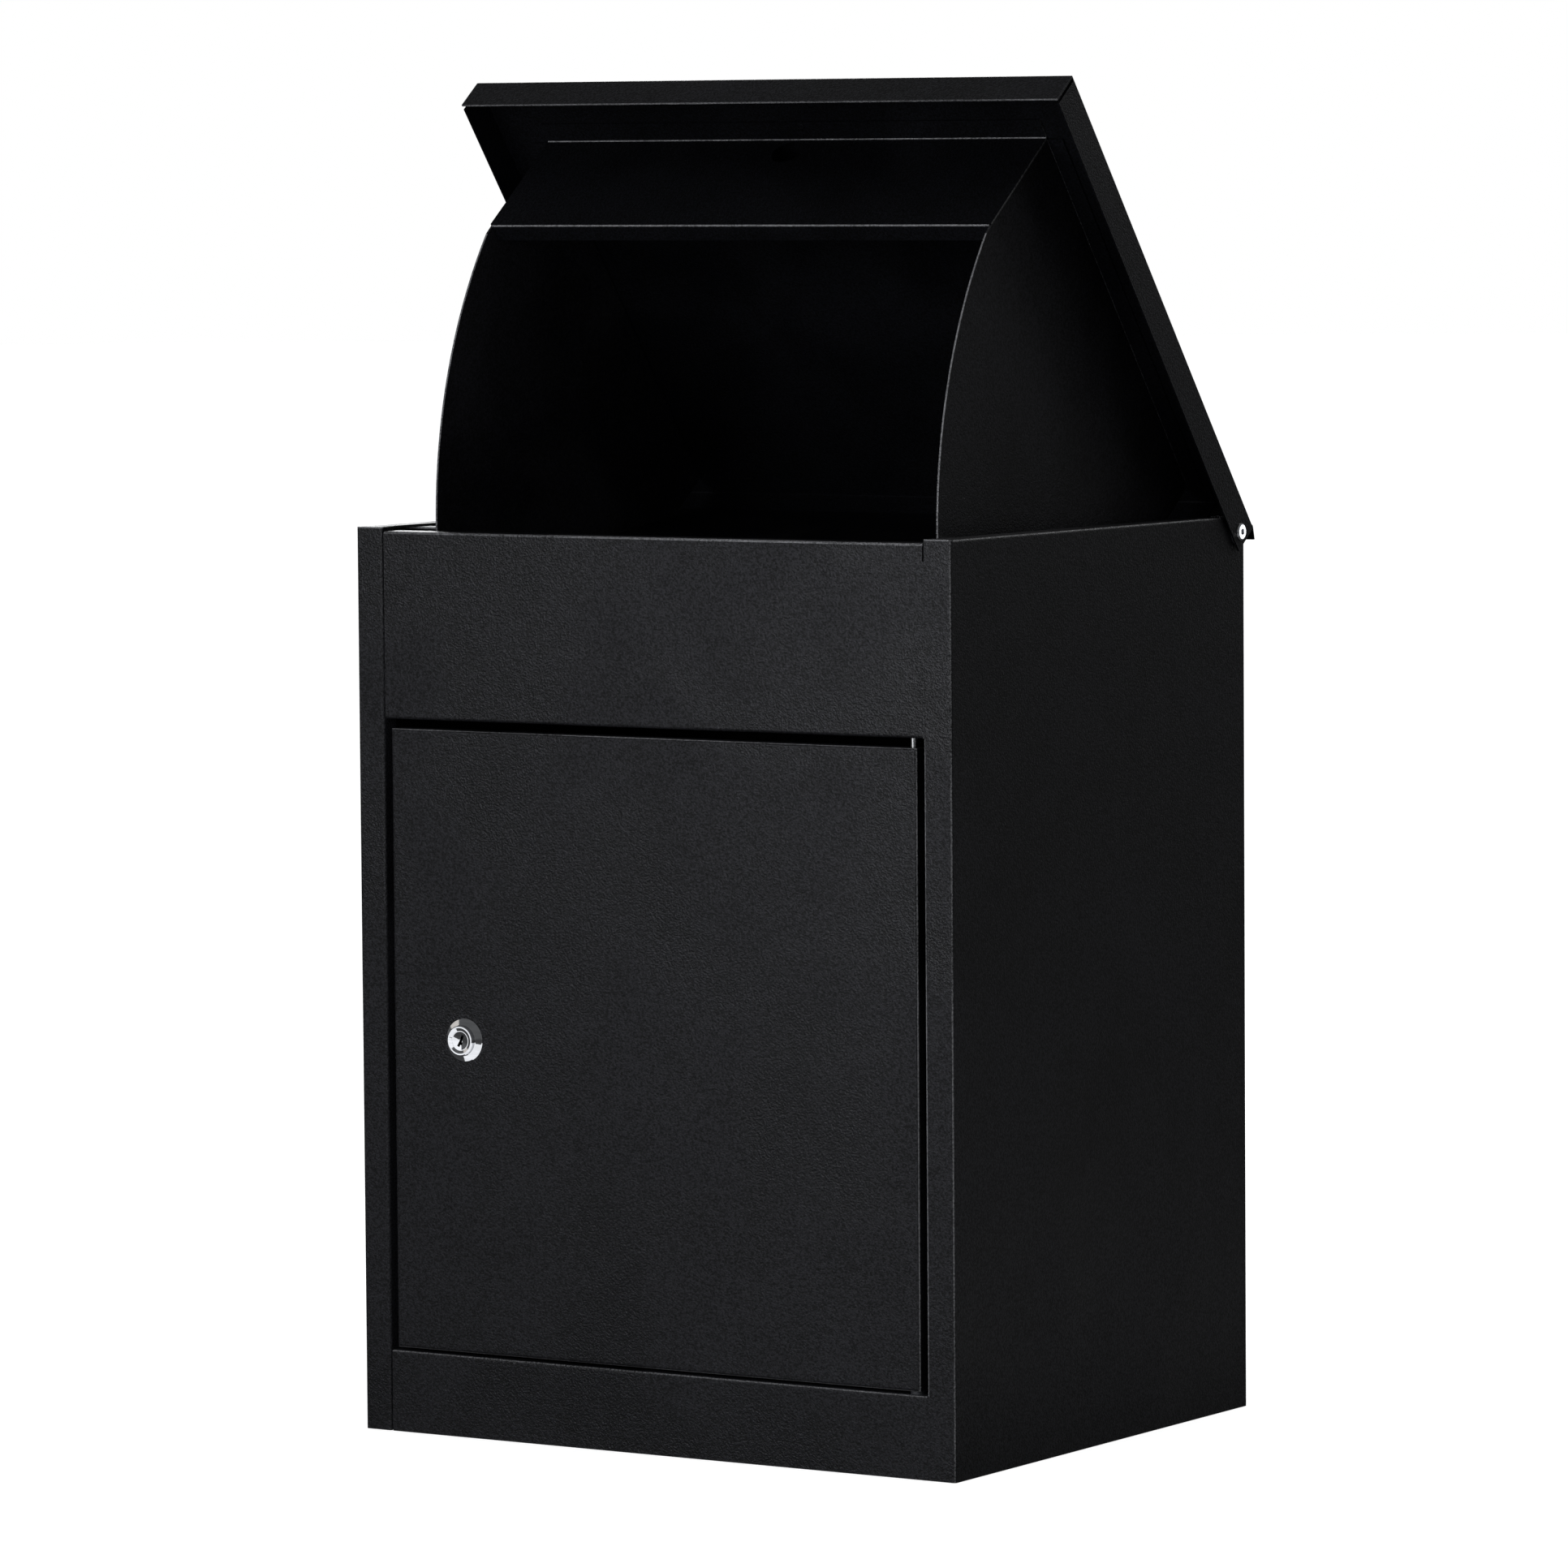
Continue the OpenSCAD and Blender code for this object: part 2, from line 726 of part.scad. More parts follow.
left_side_panel();
right_side_panel();
back_panel();
base_panel();
front_upper_panel();
front_lower_panel();
door_hinge_pin_upper();
door_hinge_pin_lower();
door_spacer_washer();
pivot_screw_left();
pivot_screw_right();
pivot_washer_left();
pivot_washer_right();
pivot_nut_left();
pivot_nut_right();
door_panel();
lock_housing();
lock_nut();
lock_plug();
lock_cam();
cam_washer();
cam_screw();
lid_panel();
hopper_cheek_left();
hopper_cheek_right();
hopper_front_panel();
hopper_tray();
lid_bumpers();
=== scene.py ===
"""Parcel drop box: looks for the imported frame."""
import json
import math

import bmesh
import bpy
from mathutils import Matrix, Vector


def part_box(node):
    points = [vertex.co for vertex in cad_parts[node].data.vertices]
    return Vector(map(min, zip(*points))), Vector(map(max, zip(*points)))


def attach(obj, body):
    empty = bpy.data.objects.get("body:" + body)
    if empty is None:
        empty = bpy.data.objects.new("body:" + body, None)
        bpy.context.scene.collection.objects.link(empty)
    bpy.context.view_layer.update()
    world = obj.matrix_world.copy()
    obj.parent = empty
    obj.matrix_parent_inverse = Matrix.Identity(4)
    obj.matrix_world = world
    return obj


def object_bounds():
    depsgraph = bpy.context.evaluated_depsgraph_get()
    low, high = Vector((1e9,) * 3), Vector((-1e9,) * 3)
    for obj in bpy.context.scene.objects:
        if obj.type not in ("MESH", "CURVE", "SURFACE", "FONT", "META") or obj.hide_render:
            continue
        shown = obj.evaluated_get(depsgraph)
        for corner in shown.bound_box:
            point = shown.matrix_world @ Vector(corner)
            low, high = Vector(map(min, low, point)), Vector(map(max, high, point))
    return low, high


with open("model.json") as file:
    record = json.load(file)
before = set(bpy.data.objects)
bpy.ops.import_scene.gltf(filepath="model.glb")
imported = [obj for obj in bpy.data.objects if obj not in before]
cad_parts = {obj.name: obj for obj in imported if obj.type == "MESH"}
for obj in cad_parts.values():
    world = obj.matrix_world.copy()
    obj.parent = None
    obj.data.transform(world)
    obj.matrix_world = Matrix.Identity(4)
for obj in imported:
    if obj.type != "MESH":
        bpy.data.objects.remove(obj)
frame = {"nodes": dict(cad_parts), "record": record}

CAD_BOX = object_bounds()
NODES = frame["nodes"]


# ---------------------------------------------------------------- node helpers

def set_range(node, low, high, out_low, out_high):
    """Sets what a Map Range node takes and what it gives."""
    for name, number in (("From Min", low), ("From Max", high),
                         ("To Min", out_low), ("To Max", out_high)):
        node.inputs[name].default_value = number


class Graph:
    """A material's node tree, with short calls that add and wire nodes."""

    def __init__(self, name):
        self.mat = bpy.data.materials.new(name)
        self.mat.use_nodes = True
        self.tree = self.mat.node_tree
        self.tree.nodes.clear()
        self.out = self.add("ShaderNodeOutputMaterial")
        self.bsdf = self.add("ShaderNodeBsdfPrincipled")
        self.wire(self.bsdf.outputs[0], self.out.inputs["Surface"])
        self.coords = self.add("ShaderNodeTexCoord").outputs["Object"]

    def add(self, kind, **settings):
        node = self.tree.nodes.new(kind)
        for key, value in settings.items():
            setattr(node, key, value)
        return node

    def wire(self, source, target):
        self.tree.links.new(source, target)

    def put(self, socket, value):
        if isinstance(value, bpy.types.NodeSocket):
            self.wire(value, socket)
        elif value is not None:
            socket.default_value = value

    def mapped(self, scale):
        """Object coordinates, stretched."""
        node = self.add("ShaderNodeMapping")
        self.wire(self.coords, node.inputs["Vector"])
        node.inputs["Scale"].default_value = scale
        return node.outputs[0]

    def noise(self, scale, detail=2.0, rough=0.5, vector=None, distortion=0.0):
        node = self.add("ShaderNodeTexNoise")
        self.wire(vector or self.coords, node.inputs["Vector"])
        node.inputs["Scale"].default_value = scale
        node.inputs["Detail"].default_value = detail
        node.inputs["Roughness"].default_value = rough
        node.inputs["Distortion"].default_value = distortion
        return node.outputs["Fac"]

    def voronoi(self, scale):
        node = self.add("ShaderNodeTexVoronoi")
        self.wire(self.coords, node.inputs["Vector"])
        node.inputs["Scale"].default_value = scale
        return node.outputs["Distance"]

    def math(self, op, a, b=None, clamp=False):
        node = self.add("ShaderNodeMath", operation=op, use_clamp=clamp)
        for socket, value in zip(node.inputs, (a, b)):
            self.put(socket, value)
        return node.outputs[0]

    def ramp(self, value, low, high, out_low=0.0, out_high=1.0):
        """Soft step from out_low to out_high while the value goes from low to high."""
        node = self.add("ShaderNodeMapRange", interpolation_type="SMOOTHSTEP")
        self.put(node.inputs["Value"], value)
        set_range(node, low, high, out_low, out_high)
        return node.outputs[0]

    def mix(self, factor, a, b):
        node = self.add("ShaderNodeMix", data_type="RGBA")
        self.put(node.inputs[0], factor)
        self.put(node.inputs[6], a)
        self.put(node.inputs[7], b)
        return node.outputs[2]

    def edge(self, radius):
        """1 close to a sharp outside or inside edge, 0 on the flat."""
        bevel = self.add("ShaderNodeBevel", samples=4)
        bevel.inputs["Radius"].default_value = radius
        flat = self.add("ShaderNodeNewGeometry").outputs["True Normal"]
        dot = self.add("ShaderNodeVectorMath", operation="DOT_PRODUCT")
        self.wire(bevel.outputs[0], dot.inputs[0])
        self.wire(flat, dot.inputs[1])
        return self.ramp(dot.outputs["Value"], 0.985, 0.85)

    def axis(self, name):
        if not hasattr(self, "split"):
            self.split = self.add("ShaderNodeSeparateXYZ")
            self.wire(self.coords, self.split.inputs[0])
        return self.split.outputs[name]

    def band(self, value, low, high, soft=0.001):
        """1 while the value is between low and high."""
        rise = self.ramp(value, low - soft, low)
        fall = self.ramp(value, high, high + soft, 1.0, 0.0)
        return self.math("MULTIPLY", rise, fall)

    def bump(self, height, distance, strength=1.0, normal=None):
        node = self.add("ShaderNodeBump")
        self.wire(height, node.inputs["Height"])
        node.inputs["Distance"].default_value = distance
        node.inputs["Strength"].default_value = strength
        if normal is not None:
            self.wire(normal, node.inputs["Normal"])
        return node.outputs[0]


# Scales of the powder coat's pattern, in repeats per metre
GRAIN, PITS, CLOUDS, BLOTCHES, FLECKS = 720.0, 860.0, 8.0, 30.0, 95.0
# Where the seams between the door frame's flanges and the front panels run, and how far back they reach
SEAM_FROM, SEAM_TO, SEAM_BACK = 0.197, 0.206, -0.170
# Top edge of the flanges, and the plane just behind their front faces
FLANGE_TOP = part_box("right_side_panel")[1].z
FLANGE_BACK = -0.1785
# Height of the painted highlight along the top edge of the door frame's flanges
FLANGE_HIGHLIGHT_HEIGHT = 0.0007
# Width of the painted highlight along sharp edges
EDGE_WIDTH = 0.0010
# Height of the coat's soft waves and of its grain
WAVE_RELIEF, GRAIN_RELIEF = 0.0012, 0.00042
# How far the clouds and the grain move the roughness either way
CLOUD_GLOSS, GRAIN_GLOSS = 0.11, 0.10
FLECK_COLOR = (0.12, 0.12, 0.12, 1.0)
# Colour of the painted highlight along the flanges' top edge
FLANGE_HIGHLIGHT_COLOR = (0.20, 0.20, 0.205, 1.0)


def powder_coat(name, base, specular, roughness, highlight_color=None, contrast=1.0, no_highlight_above=None):
    """Black powder coat: leathery grain and soft clouds; given a highlight colour, it also gets a painted
    highlight along sharp edges and along the top edge of the door frame's flanges.
    """
    g = Graph(name)
    grain = g.noise(GRAIN, 2.0, 0.6)
    pits = g.voronoi(PITS)
    clouds = g.noise(CLOUDS, 2.0, 0.5, distortion=0.4)
    blotch = g.noise(BLOTCHES, 3.0, 0.55)
    fleck = g.ramp(g.voronoi(FLECKS), 0.0, 0.035, 1.0, 0.0)
    tone = g.math("ADD", g.ramp(grain, 0.32, 0.68, 0.5 - 0.5 * contrast, 0.5 + 0.5 * contrast),
                  g.ramp(pits, 0.1, 0.7, 0.16 * contrast, -0.16 * contrast))
    tone = g.math("ADD", tone, g.ramp(clouds, 0.3, 0.7, -0.17, 0.17))
    tone = g.math("ADD", tone, g.ramp(blotch, 0.3, 0.7, -0.08, 0.08), clamp=True)
    dark = tuple(c * 0.15 for c in base) + (1.0,)
    light = tuple(c * 1.9 for c in base) + (1.0,)
    coat = g.mix(tone, dark, light)
    coat = g.mix(g.math("MULTIPLY", fleck, 0.10), coat, FLECK_COLOR)
    if highlight_color:
        # The door frame's seams are coated over, so the painted edge highlight is left off them
        seam = g.math("MULTIPLY", g.band(g.math("ABSOLUTE", g.axis("X")), SEAM_FROM, SEAM_TO),
                      g.ramp(g.axis("Y"), SEAM_BACK - 0.001, SEAM_BACK + 0.001, 1.0, 0.0))
        edge = g.math("MULTIPLY", g.edge(EDGE_WIDTH), g.math("SUBTRACT", 1.0, seam))
        coat = g.mix(edge, coat, highlight_color)
        # Painted highlight along the top edge of the door frame's flanges
        upper = g.band(g.axis("Z"), FLANGE_TOP - FLANGE_HIGHLIGHT_HEIGHT, FLANGE_TOP + 0.001, 0.0002)
        front = g.ramp(g.axis("Y"), FLANGE_BACK, FLANGE_BACK + 0.0002, 1.0, 0.0)
        coat = g.mix(g.math("MULTIPLY", upper, front), coat, FLANGE_HIGHLIGHT_COLOR)
    # Above the given height the coat turns to its dark tone, so a painted highlight coat stops there
    if no_highlight_above:
        coat = g.mix(g.ramp(g.axis("Z"), no_highlight_above, no_highlight_above + 0.001), coat, dark)
    g.put(g.bsdf.inputs["Base Color"], coat)
    gloss = g.math("ADD", g.ramp(clouds, 0.36, 0.64, roughness - CLOUD_GLOSS, roughness + CLOUD_GLOSS),
                   g.ramp(grain, 0.3, 0.7, GRAIN_GLOSS, -GRAIN_GLOSS))
    g.put(g.bsdf.inputs["Roughness"], gloss)
    g.bsdf.inputs["Specular IOR Level"].default_value = specular
    wave = g.bump(clouds, WAVE_RELIEF)
    peel = g.bump(g.math("ADD", grain, g.math("MULTIPLY", pits, -0.5)), GRAIN_RELIEF, 0.9, wave)
    g.put(g.bsdf.inputs["Normal"], peel)
    return g.mat


def metal(name, color, roughness, relief):
    """Plated metal with faint rubbing marks."""
    g = Graph(name)
    marks = g.noise(60.0, 4.0, 0.6, vector=g.mapped((1.0, 1.0, 9.0)))
    fine = g.noise(700.0, 2.0, 0.5)
    shade = tuple(c * 0.86 for c in color) + (1.0,)
    g.put(g.bsdf.inputs["Base Color"], g.mix(g.ramp(marks, 0.35, 0.65), shade, color + (1.0,)))
    g.bsdf.inputs["Metallic"].default_value = 1.0
    g.put(g.bsdf.inputs["Roughness"], g.ramp(marks, 0.3, 0.7, roughness * 0.8, roughness * 1.25))
    g.put(g.bsdf.inputs["Normal"], g.bump(fine, 0.00002, relief))
    return g.mat


def polymer(name, color, roughness):
    """Moulded polymer with a fine matt grain."""
    g = Graph(name)
    grain = g.noise(1500.0, 2.0, 0.5)
    light = tuple(c * 1.5 for c in color) + (1.0,)
    g.put(g.bsdf.inputs["Base Color"], g.mix(g.ramp(grain, 0.3, 0.7), color + (1.0,), light))
    g.put(g.bsdf.inputs["Roughness"], g.ramp(grain, 0.2, 0.8, roughness - 0.05, roughness + 0.08))
    g.bsdf.inputs["Specular IOR Level"].default_value = 0.4
    g.put(g.bsdf.inputs["Normal"], g.bump(grain, 0.00005, 0.5))
    return g.mat


MATERIALS = {
    # The powder coat's last colour is its painted edge highlight
    "powder_coat": powder_coat("powder_coat", (0.0098, 0.0098, 0.0118), 0.35, 0.50, (0.06, 0.06, 0.063, 1.0)),
    "bright_zinc": metal("bright_zinc", (0.66, 0.67, 0.69), 0.26, 0.2),
    "chrome": metal("chrome", (0.60, 0.61, 0.63), 0.07, 0.05),
    "nylon": polymer("nylon", (0.035, 0.036, 0.04), 0.5),
    "rubber": polymer("rubber", (0.012, 0.012, 0.013), 0.75),
}
# Darker, duller copy of the coat: painted shade for the inside of the lid and hopper, which sit in deep shade
PAINTED_SHADE_COAT = powder_coat("powder_coat_painted_shade", (0.0029, 0.0031, 0.0043), 0.12, 0.62)
# Lighter copies of the coat: painted highlights on folds and cut edges
FOLD_HIGHLIGHT_COAT = powder_coat("powder_coat_fold_highlight", (0.19, 0.19, 0.195), 0.45, 0.42, contrast=0.5)
JAMB_FOLD_HIGHLIGHT_COAT = powder_coat("powder_coat_jamb_fold_highlight", (0.19, 0.19, 0.195), 0.45, 0.42, contrast=0.5,
                             no_highlight_above=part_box("front_upper_panel")[0].z)
SIDE_FOLD_HIGHLIGHT_COAT = powder_coat("powder_coat_side_fold_highlight", (0.12, 0.12, 0.123), 0.45, 0.42, contrast=0.7)
FAINT_FOLD_HIGHLIGHT_COAT = powder_coat("powder_coat_faint_fold_highlight", (0.03, 0.03, 0.033), 0.3, 0.5)
PAINTED_SHADE_NODES = ("hopper_front_panel", "hopper_tray")

for part in frame["record"]["subparts"]:
    mesh = NODES[part["node"]].data
    mesh.materials.clear()
    mesh.materials.append(PAINTED_SHADE_COAT if part["node"] in PAINTED_SHADE_NODES else MATERIALS[part["material_slot"]])


def lid_frame():
    """The lid's own axes at rest: hinge point, forward along the top and out of the top."""
    joint = next(j for j in frame["record"]["behaviour"]["joints"] if j["name"] == "lid_hinge")
    tilt = math.radians(-joint["range_deg"][0])
    forward = Vector((0.0, -math.cos(tilt), math.sin(tilt)))
    out = Vector((0.0, math.sin(tilt), math.cos(tilt)))
    return Vector(joint["pos_m"]), forward, out


def recoat(node, material, chosen):
    """Gives the chosen faces of a part another coat."""
    mesh = NODES[node].data
    mesh.materials.append(material)
    index = len(mesh.materials) - 1
    for face in mesh.polygons:
        if chosen(mesh, face):
            face.material_index = index


def face_width(mesh, face):
    """Length of a face's shortest edge."""
    corners = [mesh.vertices[i].co for i in face.vertices]
    return min((a - b).length for a, b in zip(corners, corners[1:] + corners[:1]))


# A fold's facets are about 0.2 mm wide on its inside and 0.3 to 0.5 mm on its outside
INSIDE_FACET, OUTSIDE_FACET, WIDEST_FACET = 0.00015, 0.0003, 0.00065
# The sheet's thickness, and how wide a face is that counts as its cut edge
SHEET = 0.0012
CUT_FROM, CUT_TO = 0.001, 0.0014


def on_fold(axes, narrowest, slant=0.87):
    """Test for a fold's facets; a smaller slant keeps only those nearer to its middle."""
    def test(mesh, face):
        return (max(abs(face.normal.dot(axis)) for axis in axes) < slant
                and narrowest < face_width(mesh, face) < WIDEST_FACET)
    return test


def coat_body():
    """Painted highlights on the folds round the door, on the front panels and down the right side's corner.
    """
    upright = (Vector((1.0, 0.0, 0.0)), Vector((0.0, 1.0, 0.0)), Vector((0.0, 0.0, 1.0)))
    whole_fold = on_fold(upright, OUTSIDE_FACET, 0.97)
    crest = on_fold(upright, OUTSIDE_FACET, 0.80)
    corner_width = 0.010
    flange_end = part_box("right_side_panel")[1].x - corner_width
    recoat("door_panel", FOLD_HIGHLIGHT_COAT, whole_fold)
    recoat("front_upper_panel", FOLD_HIGHLIGHT_COAT, lambda mesh, face: face.normal.z > 0 and whole_fold(mesh, face))
    recoat("front_lower_panel", SIDE_FOLD_HIGHLIGHT_COAT, on_fold(upright, OUTSIDE_FACET))
    recoat("right_side_panel", SIDE_FOLD_HIGHLIGHT_COAT,
           lambda mesh, face: face.center.x > flange_end and crest(mesh, face))
    recoat("right_side_panel", JAMB_FOLD_HIGHLIGHT_COAT,
           lambda mesh, face: face.center.x < flange_end and whole_fold(mesh, face))


def coat_lid():
    """The inside of the lid and hopper gets a darker, duller copy of the coat as painted shade, and its folds
    and cut edges get painted highlights.
    """
    hinge, forward, out = lid_frame()
    tilted = (Vector((1.0, 0.0, 0.0)), forward, out)

    def height(point):
        return (point - hinge).dot(out)

    def reach(point):
        return (point - hinge).dot(forward)

    corners = [v.co for v in NODES["lid_panel"].data.vertices]
    top, side, front = (max(map(measure, corners)) for measure in (height, lambda co: abs(co.x), reach))
    # Closer than this to the lid's outside counts as outside
    skin = 0.0004
    lip_edge, lip_depth = 0.003, 0.02
    cheek_flange = 0.0035
    # The hopper's panel has its side cuts outside this, and its round hole inside it
    side_from = 0.15

    def inside_lid(mesh, face):
        at = face.center
        return height(at) < top - skin and abs(at.x) < side - skin and reach(at) < front - skin

    def lip_end(mesh, face):
        at = face.center
        return face.normal.dot(out) < -0.9 and height(at) < top - lip_depth and reach(at) > front - lip_edge

    def inner_fold(mesh, face):
        return face_width(mesh, face) < OUTSIDE_FACET and on_fold(tilted, INSIDE_FACET, 0.95)(mesh, face)

    def side_cut(mesh, face):
        return abs(face.normal.x) > 0.9 and abs(face.center.x) > side_from

    def flange(mesh, face):
        return abs(face.normal.dot(out)) > 0.9 or height(face.center) > top - cheek_flange

    def arc_cut(mesh, face):
        return (abs(face.normal.x) < 0.1 and face.normal.dot(out) < -0.05
                and CUT_FROM < face_width(mesh, face) < CUT_TO)

    recoat("lid_panel", PAINTED_SHADE_COAT, inside_lid)
    recoat("lid_panel", FOLD_HIGHLIGHT_COAT, lip_end)
    recoat("hopper_front_panel", FOLD_HIGHLIGHT_COAT, on_fold(tilted, OUTSIDE_FACET))
    recoat("hopper_front_panel", FOLD_HIGHLIGHT_COAT, inner_fold)
    recoat("hopper_front_panel", SIDE_FOLD_HIGHLIGHT_COAT, side_cut)
    for node in ("hopper_cheek_left", "hopper_cheek_right"):
        recoat(node, PAINTED_SHADE_COAT, flange)
        recoat(node, FAINT_FOLD_HIGHLIGHT_COAT, on_fold(tilted, INSIDE_FACET, 0.9))
        recoat(node, FOLD_HIGHLIGHT_COAT, arc_cut)


coat_body()
coat_lid()


# ---------------------------------------------------------------- added pieces

def new_piece(name, bm, rides_on, slot, material=None):
    """Puts a mesh in the scene as a piece of the object."""
    bmesh.ops.recalc_face_normals(bm, faces=bm.faces)
    mesh = bpy.data.meshes.new(name)
    bm.to_mesh(mesh)
    bm.free()
    obj = bpy.data.objects.new(name, mesh)
    bpy.context.scene.collection.objects.link(obj)
    mesh.materials.append(material or MATERIALS[slot])
    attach(obj, rides_on)
    return obj


def prism(outline, low, high, rows=12):
    """Upright prism over an outline in plan, cut into rows."""
    bm = bmesh.new()
    levels = [low + (high - low) * k / rows for k in range(rows + 1)]
    loops = [[bm.verts.new((x, y, z)) for x, y in outline] for z in levels]
    for lower, upper in zip(loops, loops[1:]):
        for i in range(len(outline)):
            j = (i + 1) % len(outline)
            bm.faces.new((lower[i], lower[j], upper[j], upper[i]))
    bm.faces.new(loops[0])
    bm.faces.new(loops[-1])
    return bm


def disc(middle, rings):
    """Round sheet over a middle point and rings of points; also gives the outermost ring."""
    bm = bmesh.new()
    loops = [[bm.verts.new(point) for point in ring] for ring in rings]
    hub = bm.verts.new(middle)
    for i in range(len(loops[0])):
        j = (i + 1) % len(loops[0])
        bm.faces.new((hub, loops[0][i], loops[0][j]))
        for inner, outer in zip(loops, loops[1:]):
            bm.faces.new((inner[i], outer[i], outer[j], inner[j]))
    return bm, loops[-1]


def turn_in_steps(steps):
    """Angles of equal steps round a full turn."""
    return [2 * math.pi * i / steps for i in range(steps)]


def fill_right_seam():
    """Filler in the seam between each front panel and the right flange; spare is bare seam at the top."""
    for node, spare in (("front_upper_panel", 0.011), ("front_lower_panel", 0.0)):
        low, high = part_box(node)
        edge, front = high.x, low.y
        fold, gap = 0.002, 0.0001
        centre = (edge + gap + fold, front + fold)
        arc = [(centre[0] - fold * math.cos(a), centre[1] - fold * math.sin(a))
               for a in (math.radians(10 + 80 * i / 8) for i in range(9))]
        face = [(centre[0] - 0.0004, front), (edge + 0.0010, front + 0.00004), (edge + gap, front)]
        new_piece("seam_fill_" + node, prism(arc + face, low.z, high.z - spare), "cabinet", "powder_coat")


fill_right_seam()


# Height of a spot weld's mark at its middle, then the radius and height of each ring from there out
WELD_MIDDLE = 0.00005
WELD_RINGS = ((0.0009, 0.00004), (0.0014, 0.00022), (0.0019, 0.00026), (0.0024, 0.00012), (0.0028, 0.0))


def weld_mark(name, centre, across, along, normal, rides_on):
    """Shallow ring that a spot weld leaves in the sheet."""
    rings = [[centre + normal * lift + radius * (across * math.cos(a) + along * math.sin(a))
              for a in turn_in_steps(20)] for radius, lift in WELD_RINGS]
    bm, rim = disc(centre + normal * WELD_MIDDLE, rings)
    bm.faces.new(list(reversed(rim)))
    # The weld mark takes the painted shade coat of the hopper's inside
    piece = new_piece(name, bm, rides_on, "powder_coat", PAINTED_SHADE_COAT)
    for face in piece.data.polygons:
        face.use_smooth = True


def add_weld_mark():
    """Spot weld on the flange that joins the hopper's front panel to the lid."""
    hinge, forward, out = lid_frame()
    mesh = NODES["hopper_front_panel"].data
    seat = max((v.co - hinge).dot(out) for v in mesh.vertices) - SHEET
    reach = max((v.co - hinge).dot(forward) for v in mesh.vertices)
    x = Vector((1.0, 0.0, 0.0))
    from_fold, from_middle = 0.0026, 0.010
    centre = hinge + forward * (reach - from_fold - SHEET) + out * seat + x * from_middle
    weld_mark("weld_mark", centre, x, forward, -out, "lid")


add_weld_mark()


# ---------------------------------------------------------------- stage, lights, camera

FLOOR_RINGS = (1.0, 3.0, 8.0, 30.0)
FLOOR_DROP = 0.0002
FLOOR_GREYS = ((0.49, 0.49, 0.49, 1), (0.51, 0.51, 0.51, 1))
FLOOR_GLOW = 0.73


def build_floor():
    """Round pale floor, just under the object, that stays out of its reflections."""
    rings = [[(r * math.cos(a), r * math.sin(a), 0.0) for a in turn_in_steps(64)] for r in FLOOR_RINGS]
    bm, _ = disc((0, 0, 0), rings)
    mesh = bpy.data.meshes.new("floor")
    bm.to_mesh(mesh)
    bm.free()
    floor = bpy.data.objects.new("floor", mesh)
    floor.location.z = CAD_BOX[0].z - FLOOR_DROP
    bpy.context.scene.collection.objects.link(floor)
    g = Graph("floor")
    g.put(g.bsdf.inputs["Base Color"], g.mix(g.ramp(g.noise(3.0, 2.0), 0.3, 0.7), *FLOOR_GREYS))
    g.bsdf.inputs["Roughness"].default_value = 0.9
    g.bsdf.inputs["Specular IOR Level"].default_value = 0.0
    g.bsdf.inputs["Emission Color"].default_value = (1, 1, 1, 1)
    g.bsdf.inputs["Emission Strength"].default_value = FLOOR_GLOW
    mesh.materials.append(g.mat)
    floor.visible_diffuse = False
    floor.visible_glossy = False
    return floor


FLOOR = build_floor()
COOL = (0.975, 0.985, 1.0)
BLUISH = (0.940, 0.955, 1.0)
WARM = (1.0, 0.93, 0.85)


def aim(light, position, target):
    """Puts a light in the scene, turned to its target."""
    light.location = position
    light.rotation_mode = "QUATERNION"
    light.rotation_quaternion = (Vector(target) - Vector(position)).to_track_quat("-Z", "Y")
    bpy.context.scene.collection.objects.link(light)


def only_on(light, objects):
    """Keeps a light to the given objects."""
    group = bpy.data.collections.new(light.name + "_on")
    for obj in objects:
        group.objects.link(obj)
    light.light_linking.receiver_collection = group


def area_light(name, position, target, size, power, color):
    data = bpy.data.lights.new(name, "AREA")
    data.shape = "RECTANGLE"
    data.size, data.size_y = size
    data.energy = power
    data.color = color
    light = bpy.data.objects.new(name, data)
    light.visible_camera = False
    aim(light, position, target)
    return light


def around(azimuth, height, distance, middle=0.4):
    """Point that far from the object's middle; azimuth 0 is the front, and it grows to the right."""
    a, e = math.radians(azimuth), math.radians(height)
    return (distance * math.sin(a) * math.cos(e), -distance * math.cos(a) * math.cos(e),
            middle + distance * math.sin(e))


MIDDLE = (0.0, 0.0, 0.4)
area_light("key_front", around(-20, 12, 2.6), MIDDLE, (1.2, 1.2), 13.1, BLUISH)
area_light("close_front", (0.21, -0.95, 0.60), (0.21, -0.18, 0.40), (0.25, 0.7), 1.95, BLUISH)
area_light("low_front", (0.3, -1.3, 0.1), (0.15, -0.18, 0.2), (0.5, 0.2), 0.56, BLUISH)
area_light("high_rear_right", around(150, 45, 2.6), MIDDLE, (1.2, 1.2), 12.5, COOL)
area_light("high_right", (1.3, 0.3, 1.5), (0.22, 0.0, 0.5), (0.8, 0.4), 0.39, COOL)
area_light("rear", around(180, 12, 2.6), MIDDLE, (1.2, 1.2), 0.6, COOL)
area_light("rear_left", around(-140, 20, 2.6), MIDDLE, (1.2, 1.2), 20.0, COOL)
area_light("floor_bounce", (0.52, 0.0, 0.003), (0.52, 0.0, 1.0), (0.4, 0.9), 0.22, COOL)

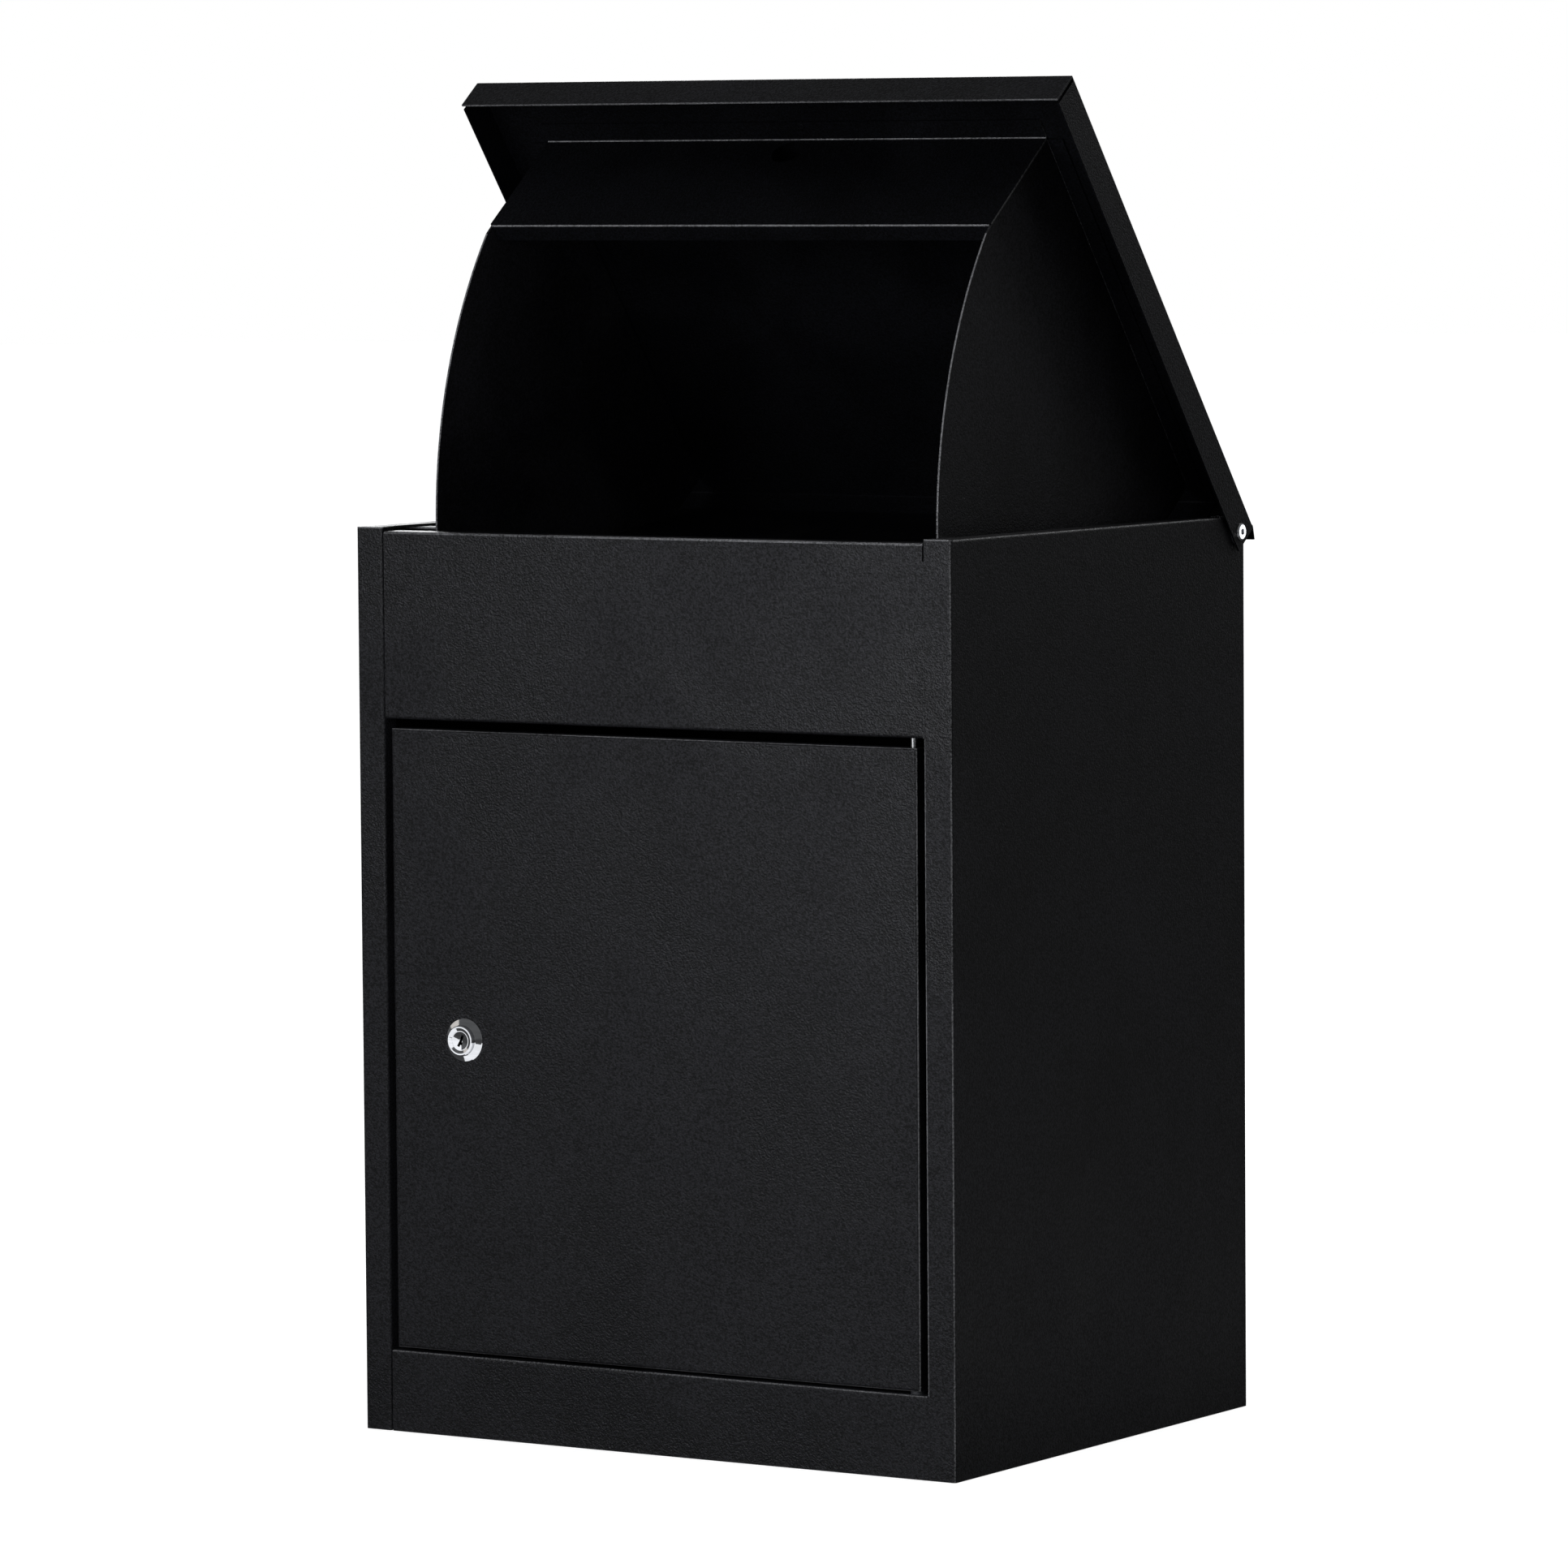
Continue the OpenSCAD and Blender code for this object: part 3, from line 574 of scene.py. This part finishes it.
# The lights so far leave the bare metal alone, which has its own cards to reflect
METAL = [NODES[part["node"]] for part in frame["record"]["subparts"]
         if part["material_slot"] in ("chrome", "bright_zinc")]
COATED = [obj for obj in bpy.context.scene.objects if obj.type == "MESH" and obj not in METAL]
for light in [obj for obj in bpy.context.scene.objects if obj.type == "LIGHT"]:
    only_on(light, COATED)
LOCK_AT = (-0.14, -0.18, 0.25)
for name, position, target, size, power, color in (
        ("card_left", around(-20, 0, 1.6, 0.26), LOCK_AT, (1.1, 0.7), 3.4, COOL),
        ("card_floor", (0.19, -0.67, 0.004), (0.19, -0.67, 1.0), (1.02, 0.9), 4.0, COOL),
        ("card_low_left", around(-60, 16, 1.6, 0.26), LOCK_AT, (0.6, 0.5), 0.75, WARM),
        ("card_top", around(-13, 46, 1.6, 0.26), LOCK_AT, (0.55, 0.5), 0.85, WARM),
        ("card_right", around(147, -3, 1.8, 0.57), (0.22, 0.17, 0.565), (0.5, 0.7), 4.8, COOL)):
    only_on(area_light(name, position, target, size, power, color), METAL)


def build_floor_light():
    """Soft sun for the floor alone, so that it stays white with a faint contact shadow."""
    data = bpy.data.lights.new("floor_light", "SUN")
    data.energy = 1.8
    data.angle = math.radians(70)
    light = bpy.data.objects.new("floor_light", data)
    aim(light, (0.0, 0.0, 3.0), (0.0, 0.0, 0.0))
    only_on(light, [FLOOR])


build_floor_light()


def build_world():
    """White behind the object; as a light it is dim, and dimmer still from below."""
    world = bpy.data.worlds.new("studio")
    bpy.context.scene.world = world
    world.use_nodes = True
    tree = world.node_tree
    tree.nodes.clear()
    add = tree.nodes.new
    wire = tree.links.new
    out = add("ShaderNodeOutputWorld")
    seen = add("ShaderNodeBackground")
    lighting = add("ShaderNodeBackground")
    seen.inputs[0].default_value = (1, 1, 1, 1)
    lighting.inputs[0].default_value = (*COOL, 1)
    split = add("ShaderNodeSeparateXYZ")
    level = add("ShaderNodeMapRange")
    wire(add("ShaderNodeTexCoord").outputs["Generated"], split.inputs[0])
    wire(split.outputs["Z"], level.inputs["Value"])
    set_range(level, -0.05, 0.05, 0.073, 0.135)
    wire(level.outputs[0], lighting.inputs[1])
    mix = add("ShaderNodeMixShader")
    wire(add("ShaderNodeLightPath").outputs["Is Camera Ray"], mix.inputs[0])
    wire(lighting.outputs[0], mix.inputs[1])
    wire(seen.outputs[0], mix.inputs[2])
    wire(mix.outputs[0], out.inputs[0])


build_world()

# Camera whose view of the box's corners is nearest to the photo's
SENSOR = 36.0
LENS = 190.66
CAMERA_AT = Vector((2.8342, -4.4559, 0.8127))
CAMERA_YAW, CAMERA_PITCH, CAMERA_ROLL = 32.60, -4.39, -0.42


def build_camera():
    data = bpy.data.cameras.new("camera")
    data.sensor_width = SENSOR
    data.lens = LENS
    data.clip_start, data.clip_end = 0.1, 100.0
    camera = bpy.data.objects.new("camera", data)
    turn = (Matrix.Rotation(math.radians(CAMERA_YAW), 4, "Z")
            @ Matrix.Rotation(math.radians(90 + CAMERA_PITCH), 4, "X")
            @ Matrix.Rotation(math.radians(CAMERA_ROLL), 4, "Z"))
    camera.matrix_world = Matrix.Translation(CAMERA_AT) @ turn
    bpy.context.scene.collection.objects.link(camera)
    bpy.context.scene.camera = camera


build_camera()
bpy.context.scene.view_settings.view_transform = "Standard"
